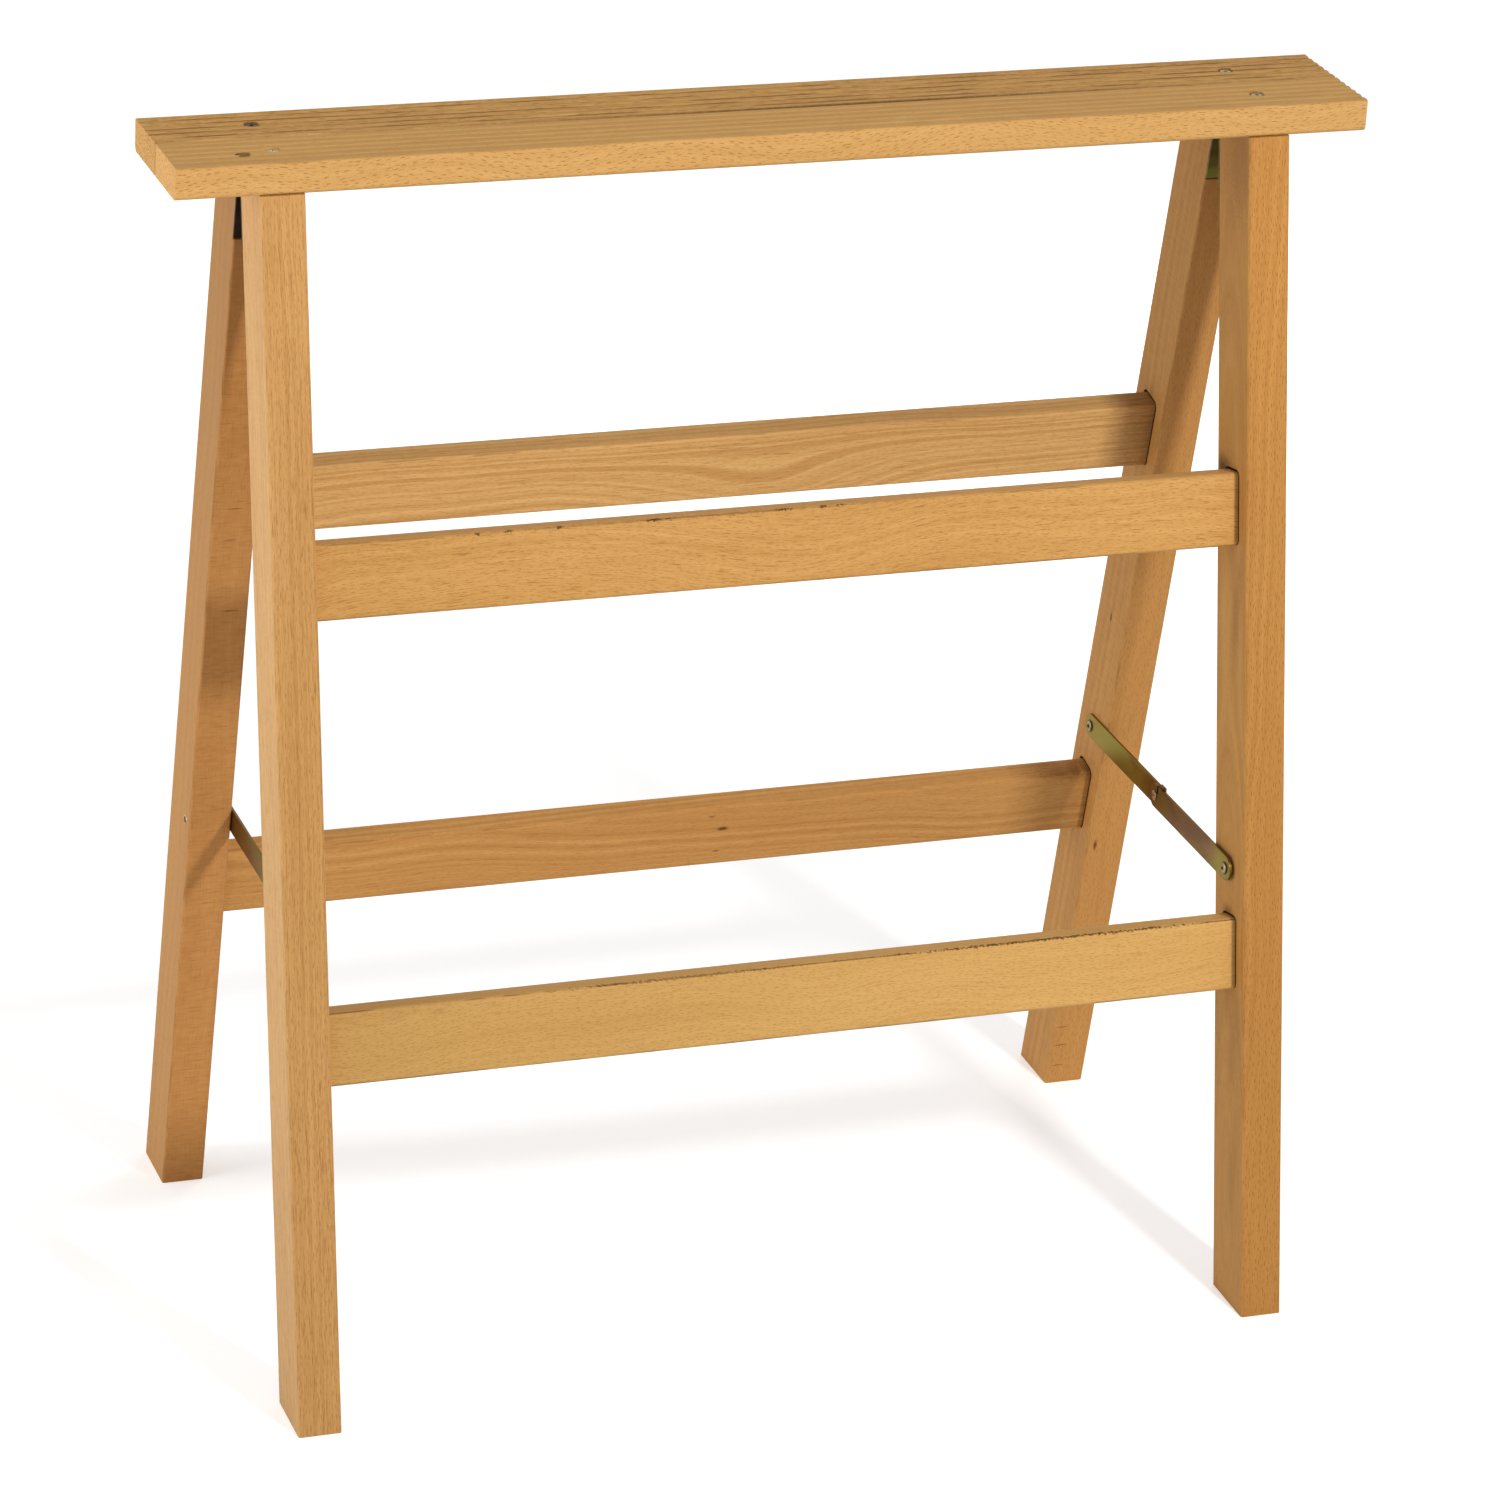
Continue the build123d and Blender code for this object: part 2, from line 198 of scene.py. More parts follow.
# %% [markdown]
# Three softboxes shape the wood. The key is small and stands in front on the right, about two metres
# up, so each rail and front leg draws a shadow with a fairly crisp edge on what is behind it. A wide
# fill close by on the left brightens the left sides, most of all those of the left legs. Another one
# behind on the right does the same for the back, which the portrait doesn't show, and no reflection
# shows it. The camera sees none of them, whichever side the trestle is looked at from.

# %% Softboxes
lamp_target = Vector((0, 0, 0.42))


def softbox(name, location, size, energy):
    """A square area light that faces the trestle and that the camera doesn't see."""
    bpy.ops.object.light_add(type="AREA", location=location)
    lamp = bpy.context.object
    lamp.name = name
    lamp.rotation_euler = (lamp.location - lamp_target).to_track_quat("Z", "Y").to_euler()
    lamp.data.size = size
    lamp.data.energy = energy
    lamp.visible_camera = False
    return lamp


key = softbox("key_softbox", location=(0.72, -2.28, 2.06), size=0.30, energy=51)
fill = softbox("left_softbox", location=(-1.35, -0.05, 0.62), size=0.7, energy=7.5)
back = softbox("back_softbox", location=(1.25, 1.75, 0.75), size=0.9, energy=11)
back.visible_glossy = False
print("softboxes:", [lamp.name for lamp in (key, fill, back)])

# %% [markdown]
# Beech is a solid thing, so its figure is worked out in three dimensions and every face is a cut
# through the same block. A point is read in the wood's own directions, in millimetres from the middle
# of its piece: across the rays, along the rays (towards the bark) and along the grain. The rays are
# what makes beech look like beech: thin ribbons that show as slender dark flecks where a face cuts
# their ends, and as thin dashes across the grain where a face lies along them. Each Voronoi cell holds
# one of them, drawn as a stretched spot round the cell's own point, so the flecks are evenly sown and
# never run together. An image of wood would be quicker, but it would end at every edge.

# %% Helpers for the wood's node group
ray_scatter = 0.9
faintest_ray = 0.35


def start_group(name, takes, gives):
    """A shader node group with its sockets: returns the tree, its inputs and its outputs."""
    group = bpy.data.node_groups.new(name, "ShaderNodeTree")
    for title, kind, value in takes:
        socket = group.interface.new_socket(title, in_out="INPUT", socket_type="NodeSocket" + kind)
        socket.default_value = value
    for title, kind in gives:
        group.interface.new_socket(title, in_out="OUTPUT", socket_type="NodeSocket" + kind)
    inside = group.nodes.new("NodeGroupInput").outputs
    outside = group.nodes.new("NodeGroupOutput").inputs
    return group, inside, outside


def parts_of(tree, vector):
    """The three parts of a vector, as sockets."""
    return place(tree, "SeparateXYZ", {0: vector}).outputs


def noise(tree, point, size, detail=2.0):
    """Noise whose lumps measure about size along each direction."""
    scaled = calculate_vector(tree, "DIVIDE", point, size)
    return place(tree, "TexNoise", {"Vector": scaled, "Scale": 1.0, "Detail": detail}).outputs


def swing(tree, value, amount):
    """How far a noise value leaves its middle, times an amount."""
    return product(tree, calculate(tree, "SUBTRACT", value, 0.5), amount)


def swing_vector(tree, point, size, detail=2.0):
    """A vector that wanders about nought from place to place."""
    lumps = noise(tree, point, size, detail)["Color"]
    return calculate_vector(tree, "SUBTRACT", lumps, (0.5, 0.5, 0.5))


def blend_colour(tree, factor, first, second):
    """A Mix node on colours."""
    node = place(tree, "Mix", data_type="RGBA")
    feed(tree, node.inputs[0], factor)
    feed(tree, node.inputs[6], first)
    feed(tree, node.inputs[7], second)
    return node.outputs[2]


def ramp(tree, value, low, high):
    """0 at low and beyond, 1 at high and beyond, smooth between."""
    inputs = {"Value": value, "From Min": low, "From Max": high}
    return place(tree, "MapRange", inputs, interpolation_type="SMOOTHSTEP").outputs[0]


def sown(tree, parts, axes, spacing, half_size, soft):
    """Stretched spots sown over two of the wood's directions, about one in each cell of a given size."""
    flat = place(tree, "CombineXYZ", {0: parts[axes[0]], 1: parts[axes[1]]}).outputs[0]
    flat = calculate_vector(tree, "DIVIDE", flat, (*spacing, 1.0))
    sowing = {"Vector": flat, "Scale": 1.0, "Randomness": ray_scatter}
    cells = place(tree, "TexVoronoi", sowing, voronoi_dimensions="2D").outputs
    offset = calculate_vector(tree, "SUBTRACT", flat, cells["Position"])
    stretch = tuple(cell / half for cell, half in zip(spacing, half_size))
    offset = calculate_vector(tree, "MULTIPLY", offset, (*stretch, 0.0))
    body = ramp(tree, length_of(tree, offset), 1.0, 1.0 - soft)
    chance = place(tree, "SeparateColor", {0: cells["Color"]}).outputs[0]
    return product(tree, body, calculate(tree, "MULTIPLY_ADD", chance, 1 - faintest_ray, faintest_ray))


print("wood helpers ready")

# %% [markdown]
# The figure is one node group that all ten pieces of wood share. Growth rings come from the distance
# to the heart of the tree, and a valley lets them dip along a rail into the arches that a slanting cut
# shows. Vessel lines, blotches and a silky ripple come from stretched noise. Dirt gathers along worn
# edges, the wood is darker low in its grooves, and painted shade makes the insides of holes and
# mortises nearly black. A Side colour tints the faces across the rays, partly for their own grain and
# partly as painted light, and a drift along each piece paints light and shade from one end to the
# other. A vector input holds a direction's value in each part, but Valley holds its place along the
# piece, half its length and its depth.

# %% Beech figure, shared by every wooden piece
plain_ring_width = 4.5
no_valley = (0, 1, 0)

beech_figure, wood, cut = start_group(
    "beech_figure",
    [
        ("Point", "Vector", (0, 0, 0)),
        ("Facing", "Vector", (0, 0, 1)),
        ("Plank", "Vector", (0, 0, 0)),
        ("Half", "Vector", (20, 20, 400)),
        ("Span", "Float", 1000.0),
        ("Heart", "Vector", (30, 70, 0)),
        ("Heart Lean", "Vector", (0, 0, 0)),
        ("Valley", "Vector", no_valley),
        ("Wander", "Vector", (20, 10, 0)),
        ("Pale", "Color", (0.6, 0.4, 0.2, 1)),
        ("Deep", "Color", (0.5, 0.3, 0.1, 1)),
        ("Fleck", "Color", (0.2, 0.1, 0.05, 1)),
        ("Flecks", "Float", 1.0),
        ("Fineness", "Float", 1.0),
        ("Flakes", "Float", 0.3),
        ("Lines", "Float", 0.5),
        ("Rings", "Float", 0.5),
        ("Ring Width", "Float", plain_ring_width),
        ("Ripple", "Float", 0.5),
        ("Dirt", "Float", 0.3),
        ("Grooves", "Float", 0.0),
        ("Drift", "Float", 0.0),
        ("Side", "Color", white),
    ],
    [("Color", "Color"), ("Roughness", "Float"), ("Height", "Float")],
)
figure_sum = partial(calculate, beech_figure)
figure_product = partial(product, beech_figure)
figure_vector = partial(calculate_vector, beech_figure)
figure_parts = partial(parts_of, beech_figure)
figure_noise = partial(noise, beech_figure)
figure_swing = partial(swing, beech_figure)
figure_ramp = partial(ramp, beech_figure)
figure_blend = partial(blend_colour, beech_figure)
print("sockets of the beech figure:", len(beech_figure.interface.items_tree))

# %% Grain that wanders
wander_size = (180.0, 180.0, 120.0)
plank_point = figure_vector("ADD", wood["Point"], wood["Plank"])
wander = figure_vector("MULTIPLY", swing_vector(beech_figure, plank_point, wander_size, 0.0), wood["Wander"])
bent = figure_vector("ADD", wood["Point"], wander)
bent_plank = figure_vector("ADD", plank_point, wander)
print("wander lumps:", wander_size)

# %% Which face of the wood is seen
facing = figure_parts(wood["Facing"])


def share_facing(direction):
    """How squarely a face looks along one of the wood's directions."""
    return figure_sum("POWER", figure_sum("ABSOLUTE", facing[direction]), 2.0)


across_face, ray_face, end_face = [share_facing(direction) for direction in range(3)]
print("faces: across the rays, along the rays, end grain")

# %% Rays
fleck_spacing, fleck_half, fleck_soft = (2.5, 7.0), (0.36, 2.5), 0.5
fine_spacing, fine_half, fine_soft = (1.3, 3.4), (0.22, 1.0), 0.6
flake_spacing, flake_half, flake_soft = (17.0, 9.0), (7.0, 0.45), 0.6
fine_strength = 0.5
ray_parts = figure_parts(scale_vector(beech_figure, bent_plank, wood["Fineness"]))
bold = sown(beech_figure, ray_parts, (0, 2), fleck_spacing, fleck_half, fleck_soft)
fine = sown(beech_figure, ray_parts, (0, 2), fine_spacing, fine_half, fine_soft)
ray_ends = figure_sum("MAXIMUM", bold, figure_product(fine, fine_strength))
flecks = figure_product(ray_ends, ray_face, wood["Flecks"])
ray_sides = sown(beech_figure, ray_parts, (1, 2), flake_spacing, flake_half, flake_soft)
flakes = figure_product(ray_sides, across_face, wood["Flakes"])
rays = figure_sum("MAXIMUM", flecks, flakes)
print("rays apart, across and along the grain:", fleck_spacing)

# %% Growth rings
valley_fades, valley_full = -0.9, 1.0
place_in_piece = figure_parts(wood["Point"])
half = figure_parts(wood["Half"])
valley = figure_parts(wood["Valley"])
from_valley = figure_sum("ABSOLUTE", figure_sum("SUBTRACT", place_in_piece[2], valley[0]))
low_share = figure_ramp(figure_sum("DIVIDE", place_in_piece[0], half[0]), valley_fades, valley_full)
sink = figure_product(figure_ramp(from_valley, valley[1], 0.0), valley[2], low_share)
sunk = place(beech_figure, "CombineXYZ", {0: sink}).outputs[0]
heart_drift = scale_vector(beech_figure, wood["Heart Lean"], place_in_piece[2])
from_heart = bent
for heart_shift in (wood["Heart"], heart_drift, sunk):
    from_heart = figure_vector("SUBTRACT", from_heart, heart_shift)
from_heart = figure_vector("MULTIPLY", from_heart, (1, 1, 0))
ring_count = figure_sum("DIVIDE", length_of(beech_figure, from_heart), wood["Ring Width"])
ring_noise = {"W": ring_count, "Scale": 1.0, "Detail": 2.0}
rings = place(beech_figure, "TexNoise", ring_noise, noise_dimensions="1D").outputs["Fac"]
print("plain ring width:", plain_ring_width)

# %% Vessel lines, blotches and ripple
line_size = (0.55, 0.55, 13.0)
blotch_size = (24.0, 24.0, 210.0)
ripple_size = (7.0, 9.0, 1.8)
vessels = figure_noise(bent_plank, line_size)["Fac"]
blotch = figure_noise(plank_point, blotch_size)["Fac"]
ripple = figure_noise(bent_plank, ripple_size, 1.0)["Fac"]
print("lumps of lines, blotches and ripple:", line_size, blotch_size, ripple_size)

# %% Tone of a cut
blotch_swing, ring_swing, line_swing, ripple_swing = 0.9, 2.0, 1.4, 2.0
ring_shift = figure_product(figure_swing(rings, ring_swing), wood["Rings"])
line_shift = figure_product(figure_swing(vessels, line_swing), wood["Lines"])
ripple_shift = figure_product(figure_swing(ripple, ripple_swing), across_face, wood["Ripple"])
tone = figure_sum("ADD", 0.5, figure_swing(blotch, blotch_swing))
tone = figure_sum("ADD", tone, ring_shift)
tone = figure_sum("ADD", tone, line_shift)
tone = figure_sum("ADD", tone, ripple_shift, clamp=True)
face_colour = figure_blend(tone, wood["Deep"], wood["Pale"])
# Painted light: the Side colour lightens or darkens the faces across the rays for how the lamps light them,
# as well as for their own grain.
side_grain_and_light = figure_vector("MULTIPLY", face_colour, wood["Side"])
colour = figure_blend(across_face, face_colour, side_grain_and_light)
print("tone from blotches, rings, lines and ripple")

# %% Dark lines, rays and end grain
vessel_clear, vessel_dark = 0.40, 0.30
line_strength = 0.7
end_speckle_size = (0.7, 1.3, 9.0)
end_clear, end_dark = 0.52, 0.72
dark_lines = figure_product(figure_ramp(vessels, vessel_clear, vessel_dark), wood["Lines"], line_strength)
end_speckle = figure_ramp(figure_noise(bent_plank, end_speckle_size)["Fac"], end_clear, end_dark)
darkness = figure_sum("MAXIMUM", rays, dark_lines)
darkness = figure_sum("MAXIMUM", darkness, figure_product(end_face, end_speckle))
colour = figure_blend(darkness, colour, wood["Fleck"])
print("end speckle lumps:", end_speckle_size)

# %% Dirt along worn edges
dirt_brown = (0.075, 0.036, 0.013, 1)
dirt_size = (6.0, 6.0, 34.0)
dirt_detail = 3.0
dirt_clear, dirt_full = 0.48, 0.60
edge_clear, edge_full = 1.5, 0.4
depths = []
for direction in range(3):
    from_middle = figure_sum("ABSOLUTE", place_in_piece[direction])
    depths.append(figure_sum("SUBTRACT", half[direction], from_middle))
near_edge = figure_ramp(figure_sum("MAXIMUM", depths[0], depths[1]), edge_clear, edge_full)
dirt_patches = figure_ramp(figure_noise(plank_point, dirt_size, dirt_detail)["Fac"], dirt_clear, dirt_full)
colour = figure_blend(figure_product(near_edge, dirt_patches, wood["Dirt"]), colour, dirt_brown)
print("dirt reaches from the edge, in mm:", edge_clear)

# %% Darker low in grooves
groove_patch_size = (4.0, 4.0, 44.0)
groove_clear, groove_full = 0.42, 0.60
groove_top, groove_floor = 0.35, 0.6
low_across = figure_product(figure_ramp(depths[0], groove_top, groove_floor), across_face)
low_along = figure_product(figure_ramp(depths[1], groove_top, groove_floor), ray_face)
in_groove = figure_sum("MAXIMUM", low_across, low_along)
groove_noise = figure_noise(plank_point, groove_patch_size, dirt_detail)["Fac"]
groove_patches = figure_ramp(groove_noise, groove_clear, groove_full)
colour = figure_blend(figure_product(in_groove, groove_patches, wood["Grooves"]), colour, wood["Fleck"])
print("grooves are darker below, in mm:", groove_top)

# %% Painted shade in the insides of holes and mortises
painted_shade_black = (0.012, 0.007, 0.004, 1)
painted_shade_share = 0.92
wall_near, wall_deep = 0.9, 1.3
end_near, end_deep = 24.0, 25.0
span_near, span_past = 0.1, 0.7
# Painted shade: the walls deep in holes and mortises, and the ends of the rails inside the legs, are painted
# nearly black where shade falls into the gaps.
deep_sides = [figure_ramp(depth, wall_near, wall_deep) for depth in depths[:2]]
inside = figure_product(*deep_sides, figure_ramp(depths[2], end_near, end_deep))
past_span = figure_sum("SUBTRACT", figure_sum("ABSOLUTE", place_in_piece[2]), wood["Span"])
inside = figure_sum("MAXIMUM", inside, figure_ramp(past_span, span_near, span_past))
colour = figure_blend(figure_product(inside, painted_shade_share), colour, painted_shade_black)
print("insides are dark below, in mm:", wall_near)

# %% Painted shade drifting along a piece, gloss and relief
plain_roughness, blotch_roughness, dark_roughness = 0.55, 0.2, 0.08
dark_height = -0.6
# Painted shade: the colour darkens steadily towards one end of a piece, as the light falls off there.
along_share = figure_sum("DIVIDE", place_in_piece[2], half[2])
drift = figure_sum("MULTIPLY_ADD", along_share, wood["Drift"], 1.0)
feed(beech_figure, cut["Color"], scale_vector(beech_figure, colour, drift))
roughness = figure_sum("ADD", plain_roughness, figure_swing(blotch, blotch_roughness))
roughness = figure_sum("MULTIPLY_ADD", darkness, dark_roughness, roughness)
feed(beech_figure, cut["Roughness"], roughness)
feed(beech_figure, cut["Height"], figure_sum("MULTIPLY_ADD", darkness, dark_height, vessels))
print("beech figure nodes:", len(beech_figure.nodes))

# %% [markdown]
# Every piece of wood was cut from another plank, so each has a material of its own that places the
# shared figure with its own tones. The varnish is thin and has little shine of its own, so the shader
# keeps a low specular level. Colours are named as a screen shows them, from 0 to 255, because that is
# how they are judged, and turned into the linear values that shaders count in.

# %% Colours and empty materials
per_metre = 1000.0
metres_to_mm = (per_metre, per_metre, per_metre)


def tone_of(red, green, blue):
    """A colour named by its screen values from 0 to 255, as the linear colour that a shader wants."""
    channels = []
    for value in (red, green, blue):
        share = value / 255
        channels.append(share / 12.92 if share <= 0.04045 else ((share + 0.055) / 1.055) ** 2.4)
    return (*channels, 1.0)


def start_material(name):
    """An empty node material with a Principled shader: returns the material, its tree and the shader."""
    material = bpy.data.materials.new(name)
    material.use_nodes = True
    tree = material.node_tree
    tree.nodes.clear()
    shader = place(tree, "BsdfPrincipled")
    feed(tree, place(tree, "OutputMaterial").inputs["Surface"], shader.outputs[0])
    return material, tree, shader


def finish_surface(tree, shader, figure, colour, relief_strength, relief_depth):
    """Join a group's roughness and height, and a colour, to the shader."""
    feed(tree, shader.inputs["Base Color"], colour)
    feed(tree, shader.inputs["Roughness"], figure["Roughness"])
    relief = {"Strength": relief_strength, "Distance": relief_depth, "Height": figure["Height"]}
    feed(tree, shader.inputs["Normal"], place(tree, "Bump", relief).outputs[0])


def in_millimetres(tree, where):
    """Object coordinates in millimetres."""
    return place(tree, "Mapping", {"Vector": where["Object"], "Scale": metres_to_mm}).outputs[0]


print("material helpers ready")

# %% [markdown]
# A few marks are seen only once, such as a knot, a plug or a smear of dirt. Each is a stretched soft
# spot at its own place on the trestle, with a ragged outline from fine noise and, for a ring, a hollow
# middle. Painting them on the mesh would need a fine mesh or an image, and a group needs neither.

# %% Single marks
ragged_size = (2.0, 2.0, 2.0)
hollow_edge, hollow_full = 0.75, 0.5

single_mark, mark_in, mark_out = start_group(
    "single_mark",
    [
        ("Point", "Vector", (0, 0, 0)),
        ("Centre", "Vector", (0, 0, 0)),
        ("Reach", "Vector", (5, 5, 5)),
        ("Core", "Float", 0.55),
        ("Hollow", "Float", 0.0),
        ("Strength", "Float", 1.0),
        ("Ragged", "Float", 0.4),
    ],
    [("Mask", "Float")],
)
mark_vector = partial(calculate_vector, single_mark)
mark_ramp = partial(ramp, single_mark)
ragged_shift = swing_vector(single_mark, mark_in["Point"], ragged_size)
ragged_shift = scale_vector(single_mark, ragged_shift, mark_in["Ragged"])
mark_offset = mark_vector("SUBTRACT", mark_in["Point"], mark_in["Centre"])
mark_offset = mark_vector("DIVIDE", mark_offset, mark_in["Reach"])
mark_offset = mark_vector("ADD", mark_offset, ragged_shift)
mark_distance = length_of(single_mark, mark_offset)
mark_body = mark_ramp(mark_distance, 1.0, mark_in["Core"])
mark_middle = product(single_mark, mark_ramp(mark_distance, hollow_edge, hollow_full), mark_in["Hollow"])
mark_mask = calculate(single_mark, "SUBTRACT", mark_body, mark_middle, clamp=True)
feed(single_mark, mark_out["Mask"], product(single_mark, mark_mask, mark_in["Strength"]))
print("mark nodes:", len(single_mark.nodes))

# %% Marks over a surface
def mark(centre, reach, tone, core=0.5, hollow=0.0, strength=1.0, ragged=0.4):
    """The sockets of one mark, in millimetres and shares of its reach, and its colour."""
    sockets = {"Centre": centre, "Reach": reach, "Core": core}
    sockets.update({"Hollow": hollow, "Strength": strength, "Ragged": ragged})
    return sockets, tone


def lay_marks(tree, where, surface, marks):
    """Blend single marks, one after the other, over a surface colour."""
    for sockets, mark_tone in marks:
        spot = place(tree, "Group", node_tree=single_mark)
        for title, value in {"Point": in_millimetres(tree, where), **sockets}.items():
            feed(tree, spot.inputs[title], value)
        surface = blend_colour(tree, spot.outputs["Mask"], surface, tone_of(*mark_tone))
    return surface


print("mark helpers ready")

# %% [markdown]
# A Mapping node turns the coordinates into the wood's directions and centres them on the piece: the
# legs lean by the splay angle, so their grain leans with them, and in the rails and boards it runs
# lengthwise. A quarter turn about the grain decides whether flecks or ripple show on the front face.
# Each plank is also read far from the others in the noise, so that no two pieces look alike.

# %% Lie of the wood in each piece
splay = math.radians(11.0)
leans = {"front": splay, "rear": -splay}
upright, lengthwise = 0.0, -quarter_turn
leg_half = (13.5, 22.5)
rail_half = (23.0, 8.75)


def wood_turn(node, sawn_cut):
    """The angles that turn the trestle's directions into those of one piece's wood."""
    lean = 0.0 if node.endswith("board") else leans[node.split("_")[0]]
    grain = upright if node.endswith("leg") else lengthwise
    return lean, grain, quarter_turn if sawn_cut == "quarter" else 0.0


def half_in_wood(node, sawn_cut):
    """Half the size of a piece along the wood's three directions."""
    low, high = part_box(node)
    size = (high - low) * per_metre
    if node.endswith("board"):
        first, second, along = size.z / 2, size.y / 2, size.x / 2
    elif node.endswith("rail"):
        first, second, along = *rail_half, size.x / 2
    else:
        first, second, along = *leg_half, size.z / 2 / math.cos(splay)
    return (second, first, along) if sawn_cut == "quarter" else (first, second, along)


print("splay angle in degrees:", round(math.degrees(splay), 1))

# %% Wood materials
inner_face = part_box("front_right_leg")[0].x * per_metre
plank_step = Vector((37.0, 53.0, 910.0))
wood_relief, wood_relief_depth = 0.25, 0.0002
varnish_specular = 0.07
ray_brown = (150, 98, 48)
planks = {}


def beech(node, sawn_cut, heart, pale, deep, fleck_tone=ray_brown, marks=(), **amounts):
    """A varnished beech material for one piece: its cut, tones, marks and amounts of figure."""
    material, tree, shader = start_material(node + "_beech")
    turn = wood_turn(node, sawn_cut)
    low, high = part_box(node)
    middle = Euler(turn).to_matrix() @ ((low + high) / 2 * per_metre)
    where = place(tree, "TexCoord").outputs
    lie = {"Vector": where["Object"], "Rotation": turn, "Location": -middle, "Scale": metres_to_mm}
    look = {"Vector": where["Normal"], "Rotation": turn}
    values = {
        "Point": place(tree, "Mapping", lie).outputs[0],
        "Facing": place(tree, "Mapping", look, vector_type="VECTOR").outputs[0],
        "Plank": plank_step * (1 + len(planks)),
        "Half": half_in_wood(node, sawn_cut),
        "Heart": (*heart, 0),
        "Pale": tone_of(*pale),
        "Deep": tone_of(*deep),
        "Fleck": tone_of(*fleck_tone),
    }
    if node.endswith("rail"):
        values["Span"] = inner_face
    values.update({title.replace("_", " ").title(): amount for title, amount in amounts.items()})
    figure = place(tree, "Group", node_tree=beech_figure)
    for title, value in values.items():
        feed(tree, figure.inputs[title], value)
    colour = lay_marks(tree, where, figure.outputs["Color"], marks)
    finish_surface(tree, shader, figure.outputs, colour, wood_relief, wood_relief_depth)
    shader.inputs["Specular IOR Level"].default_value = varnish_specular
    planks[node] = material


def dress(node, material):
    """Put a material into every slot of a CAD node."""
    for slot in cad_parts[node].material_slots:
        slot.material = material


print("inner faces of the legs at x:", round(inner_face, 1))

# %% [markdown]
# The top is two half boards. The front one is cut so that its front edge is full of flecks, and the
# rear one so that long dark streaks run along its top. The grooves and the line between the halves
# are darker, and painted shade lies round the screws in their countersinks. Beside one screw of the
# front half is a small plug with a brown ring and a chip.

# %% Boards
top_height = cad_high.z * per_metre
screw_head = 3.4
screw_shade_reach, screw_shade_brown = (5.6, 5.6, 3.0), (46, 30, 18)


def screw_countersink_shades(screws):
    """Painted shade in the wood round the two board screws of one half, where their countersinks are."""
    low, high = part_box(screws)
    depth = (low.y + high.y) / 2 * per_metre
    ends = (low.x * per_metre + screw_head, high.x * per_metre - screw_head)
    return [mark((end, depth, top_height), screw_shade_reach, screw_shade_brown, core=0.62, strength=0.9) for end in ends]


plug_ring = mark((-328.0, -28.6, top_height), reach=(4.8, 4.8, 5.0), tone=(98, 60, 28),
                 core=0.6, hollow=0.2, strength=0.95, ragged=0.9)
plug_chip = mark((-331.8, -28.9, top_height), reach=(1.5, 1.3, 3.0), tone=(62, 36, 16), core=0.4)
split_line = mark((60.0, 0.0, top_height), reach=(340.0, 3.2, 3.0), tone=(92, 58, 28),
                  core=0.15, strength=0.9)
# The Side tint of the front half paints its top darker as shade, and drift paints shade along both halves.
beech("front_top_board", "flat", heart=(60, -30), pale=(219, 172, 106), deep=(200, 150, 86),
      wander=(50, 10, 0), flecks=0.9, fineness=1.2, lines=0.35, rings=0.25, ripple=0.2, flakes=0.1,
      dirt=0.2, grooves=0.15, drift=-0.05, side=(0.88, 0.88, 0.84, 1),
      marks=[plug_ring, plug_chip, split_line, screw_countersink_shades("front_board_screws")[1]])
beech("rear_top_board", "quarter", heart=(-20, 40), pale=(207, 160, 94), deep=(184, 135, 72),
      fleck_tone=(104, 66, 32), wander=(8, 20, 0), flecks=0.55, fineness=0.75, lines=0.8, rings=0.7,
      ring_width=2.6, ripple=0.2, flakes=0.4, dirt=0.2, grooves=0.75, drift=-0.08,
      marks=[split_line, *screw_countersink_shades("rear_board_screws")])
print("boards:", len(planks))

# %% [markdown]
# The legs differ the most. The front left one has fine straight lines, the front right one is redder
# and has faint darker patches, with painted shade in the gaps of its two rail joints on its inner side,
# and the rear ones have thin dark lines across the grain and, on the right, two small knots.

# %% Marks on the legs
faint_patch_tone = (118, 80, 52)
faint_patch_places = (
    (-157.0, 80.0, 13.0, 60.0, 0.2),
    (-142.0, 168.0, 11.0, 50.0, 0.2),
    (-90.0, 440.0, 10.0, 60.0, 0.3),
    (-38.0, 720.0, 34.0, 60.0, 0.4),
)


def faint_patch(y, z, half_width, half_height, strength):
    """A faint ragged patch on the inner side of the front right leg."""
    reach = (4.0, half_width, half_height)
    return mark((inner_face, y, z), reach, faint_patch_tone, core=0.0, strength=strength, ragged=0.9)


def cross_line(centre, half_width, half_height, tone, strength):
    """A thin dark line across the grain on the front face of a rear leg."""
    return mark(centre, (half_width, 4.0, half_height), tone, core=0.1, strength=strength)


# Painted shade in the gaps of the joints of the upper and lower rails, on the inner side of the front right
# leg.
rail_gap_shades = [
    mark((inner_face, -53.0, 525.0), reach=(5.0, 18.0, 13.0), tone=(58, 34, 16), core=0.0, strength=0.85),
    mark((inner_face, -118.0, 250.0), reach=(5.0, 12.0, 8.0), tone=(70, 42, 20), core=0.0, strength=0.6),
]
side_knot = mark((inner_face, 98.6, 363.6), reach=(3.0, 1.4, 4.2), tone=(66, 34, 16), core=0.3)
front_knot = mark((301.3, 107.2, 195.6), reach=(1.9, 3.0, 6.5), tone=(116, 66, 30), core=0.1)
line_brown = (118, 74, 38)
right_lines = [
    cross_line((300.8, 136.2, 46.7), 6.0, 0.6, line_brown, 0.9),
    cross_line((301.7, 139.1, 31.6), 8.0, 0.6, line_brown, 0.9),
    cross_line((302.2, 142.4, 14.7), 6.0, 0.6, line_brown, 0.9),
]
left_lines = [
    cross_line((-308.7, 46.6, 507.6), 7.0, 0.7, (110, 66, 34), 0.8),
    cross_line((-309.7, 50.8, 485.9), 6.0, 0.6, (110, 66, 34), 0.7),
    cross_line((-306.9, 60.7, 435.2), 7.0, 0.6, (90, 52, 28), 0.8),
]
print("marks on the legs:", len(faint_patch_places) + len(rail_gap_shades) + len(right_lines) + len(left_lines) + 2)
